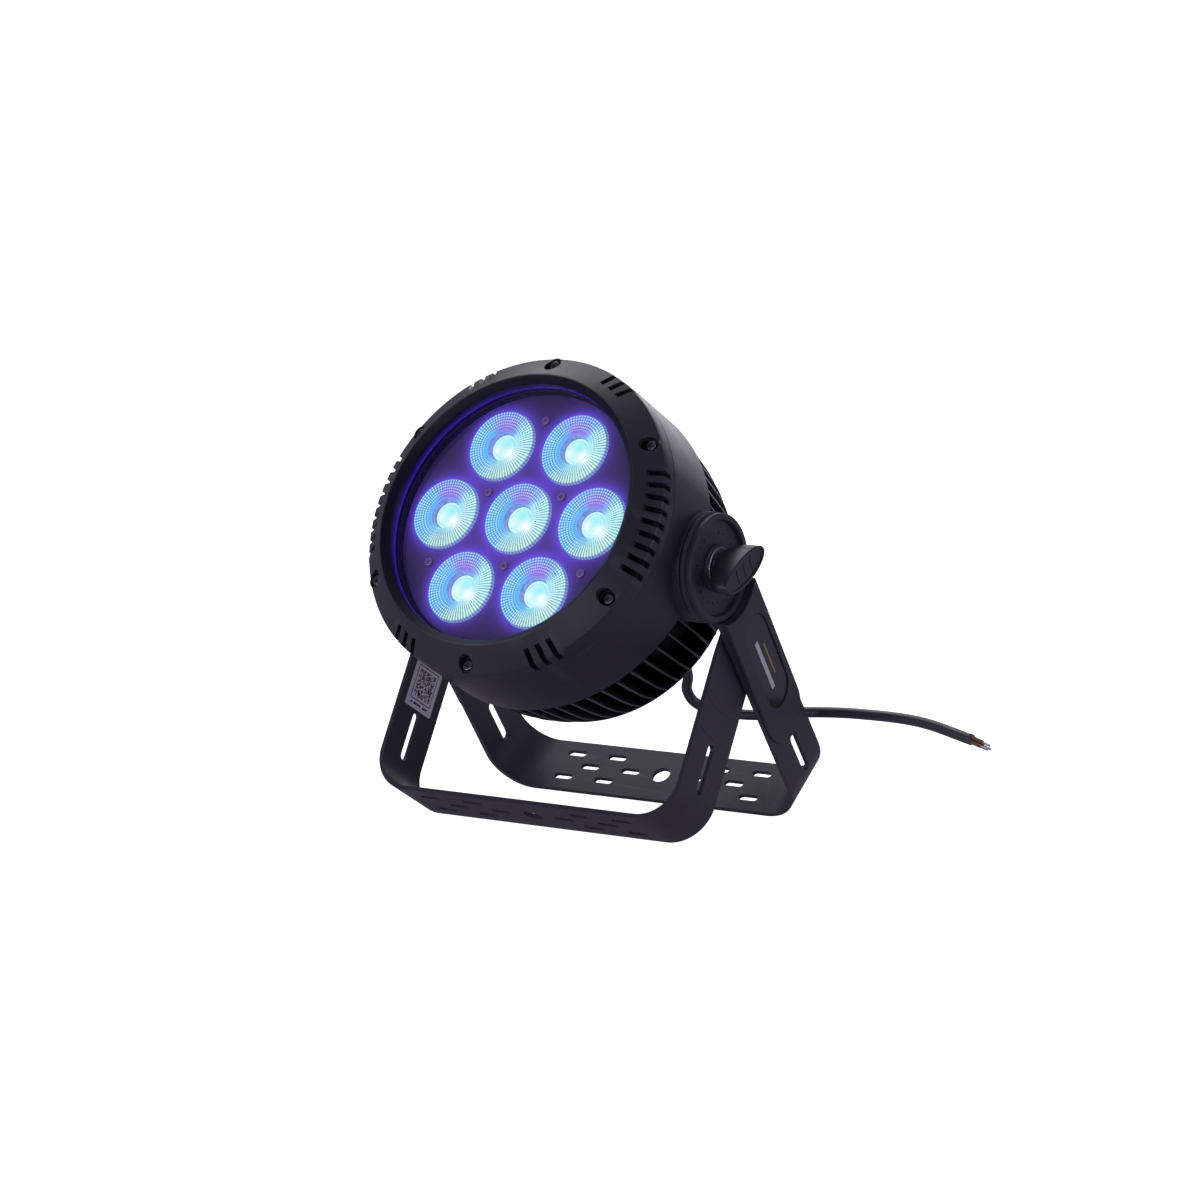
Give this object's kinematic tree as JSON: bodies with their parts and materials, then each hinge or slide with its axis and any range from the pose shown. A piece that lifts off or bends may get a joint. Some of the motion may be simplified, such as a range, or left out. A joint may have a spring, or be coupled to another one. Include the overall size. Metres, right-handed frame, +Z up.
{
  "type": "led par can light",
  "caption": "Round stage wash lamp with finned die-cast body and glowing lens face, tilting between two nested U-shaped yokes that splay into a floor stand or hang from a clamp.",
  "frame": {"origin": "centre of the clamp-bolt hole on the outer face of the outer (rear) yoke's base strap", "axes": "+Z up with the lamp standing on its two splayed yokes, -Y the way the lamp faces, +X along the trunnion axis, the side the power cable leaves on"},
  "size_m": [0.4059, 0.248, 0.3077],
  "materials": {
    "powder_steel": "satin powder coat, black",
    "cast_black": "die-cast, fine-texture powder coat, black",
    "cover_plastic": "fine spark texture, black",
    "knob_plastic": "semi-gloss glass-filled nylon, black",
    "badge_gloss": "gloss, black",
    "plate_black": "satin anodised, near black",
    "screw_zinc": "zinc plated",
    "screw_black": "black oxide",
    "bare_alu": "machined",
    "clear_glass": "clear toughened glass",
    "lens_pmma": "moulded acrylic, lit from behind",
    "window_clear": "smoked clear window",
    "holder_black": "moulded, black",
    "rubber_black": "silicone, black",
    "pad_grey": "silicone thermal pad",
    "nylon_natural": "nylon, natural",
    "pcb_white": "white solder mask on aluminium core",
    "pcb_green": "green solder mask",
    "component_black": "moulded components",
    "led_emitter": "lit emitter with silicone dome",
    "brass_insert": "turned",
    "cable_sheath": "black PVC sheath",
    "core_mix": "PVC insulation",
    "tin_ferrule": "tinned copper",
    "label_film": "silver printed film",
    "display_black": "display glass and board",
    "button_plastic": "moulded key",
    "socket_shell": "glass-filled nylon connector shell"
  },
  "bodies": {
    "outer_yoke_body": {"outer_yoke": "powder_steel", "hinge_bolts": "screw_black", "hinge_nuts": "screw_zinc", "hinge_thrust_washers": "nylon_natural", "arm_cover_right": "cover_plastic", "arm_cover_left": "cover_plastic", "cover_badge_right": "badge_gloss", "cover_badge_left": "badge_gloss", "dial_right": "cover_plastic", "dial_left": "cover_plastic", "power_cable": "cable_sheath", "cable_cores": "core_mix", "core_ferrules": "tin_ferrule"},
    "inner_yoke_body": {"inner_yoke": "powder_steel", "info_label": "label_film"},
    "clamp_right": {"clamp_washer_right": "screw_zinc"},
    "clamp_left": {"clamp_washer_left": "screw_zinc"},
    "knob_right_body": {"knob_right": "knob_plastic", "knob_stud_right": "screw_zinc"},
    "knob_left_body": {"knob_left": "knob_plastic", "knob_stud_left": "screw_zinc"},
    "key_1": {"button_1": "button_plastic"},
    "key_2": {"button_2": "button_plastic"},
    "key_3": {"button_3": "button_plastic"},
    "key_4": {"button_4": "button_plastic"},
    "head": {"bezel_screws": "screw_zinc", "body_casting": "cast_black", "cable_gland_body": "socket_shell", "cable_gland_locknut": "socket_shell", "cable_gland_nut": "socket_shell", "display_module": "display_black", "display_window": "window_clear", "dmx_input_socket": "socket_shell", "dmx_output_socket": "socket_shell", "driver_board": "pcb_green", "driver_components": "component_black", "driver_screws": "screw_zinc", "friction_discs": "nylon_natural", "front_bezel": "cast_black", "front_glass": "clear_glass", "glass_gasket": "rubber_black", "led_board": "pcb_white", "led_emitters": "led_emitter", "lens_centre": "lens_pmma", "lens_holders": "holder_black", "lens_plate": "plate_black", "lens_plate_screws": "screw_zinc", "lenses_ring": "lens_pmma", "plate_standoffs": "brass_insert", "rear_cover": "cast_black", "rear_cover_screws": "screw_zinc", "rear_gasket": "rubber_black", "safety_eye": "screw_zinc", "safety_eye_screws": "screw_zinc", "socket_screws": "screw_zinc", "supply_board": "component_black", "supply_case": "bare_alu", "thermal_pad": "pad_grey", "trunnion_inserts": "brass_insert"}
  },
  "joints": [
    {"name": "head_tilt", "type": "hinge", "parent": "outer_yoke_body", "child": "head", "pos_m": [0, -0.1224, 0.16482], "axis": [1, 0, 0], "range_deg": [-62.15, 117.85], "deforming": ["power_cable"]},
    {"name": "inner_yoke_fold", "type": "hinge", "parent": "outer_yoke_body", "child": "inner_yoke_body", "pos_m": [0, -0.08993, 0.11606], "axis": [1, 0, 0], "range_deg": [-20, 66.2]},
    {"name": "clamp_right_slide", "type": "slide", "parent": "outer_yoke_body", "child": "clamp_right", "axis": [1, 0, 0], "range_m": [0, 0.00125]},
    {"name": "knob_right_turn", "type": "hinge", "parent": "clamp_right", "child": "knob_right_body", "pos_m": [0, -0.1224, 0.16482], "axis": [1, 0, 0], "range_deg": [0, 360]},
    {"name": "clamp_left_slide", "type": "slide", "parent": "outer_yoke_body", "child": "clamp_left", "axis": [-1, 0, 0], "range_m": [0, 0.00125]},
    {"name": "knob_left_turn", "type": "hinge", "parent": "clamp_left", "child": "knob_left_body", "pos_m": [0, -0.1224, 0.16482], "axis": [-1, 0, 0], "range_deg": [0, 360]},
    {"name": "key_1_press", "type": "slide", "parent": "head", "child": "key_1", "axis": [0, -0.8842, 0.4672], "range_m": [0, 0.0008], "stiffness_N_per_m": 900},
    {"name": "key_2_press", "type": "slide", "parent": "head", "child": "key_2", "axis": [0, -0.8842, 0.4672], "range_m": [0, 0.0008], "stiffness_N_per_m": 900},
    {"name": "key_3_press", "type": "slide", "parent": "head", "child": "key_3", "axis": [0, -0.8842, 0.4672], "range_m": [0, 0.0008], "stiffness_N_per_m": 900},
    {"name": "key_4_press", "type": "slide", "parent": "head", "child": "key_4", "axis": [0, -0.8842, 0.4672], "range_m": [0, 0.0008], "stiffness_N_per_m": 900}
  ],
  "couplings": [
    {"joint": "knob_right_turn", "follows": "clamp_right_slide", "rad_per_m": 5026.5},
    {"joint": "knob_left_turn", "follows": "clamp_left_slide", "rad_per_m": 5026.5}
  ]
}
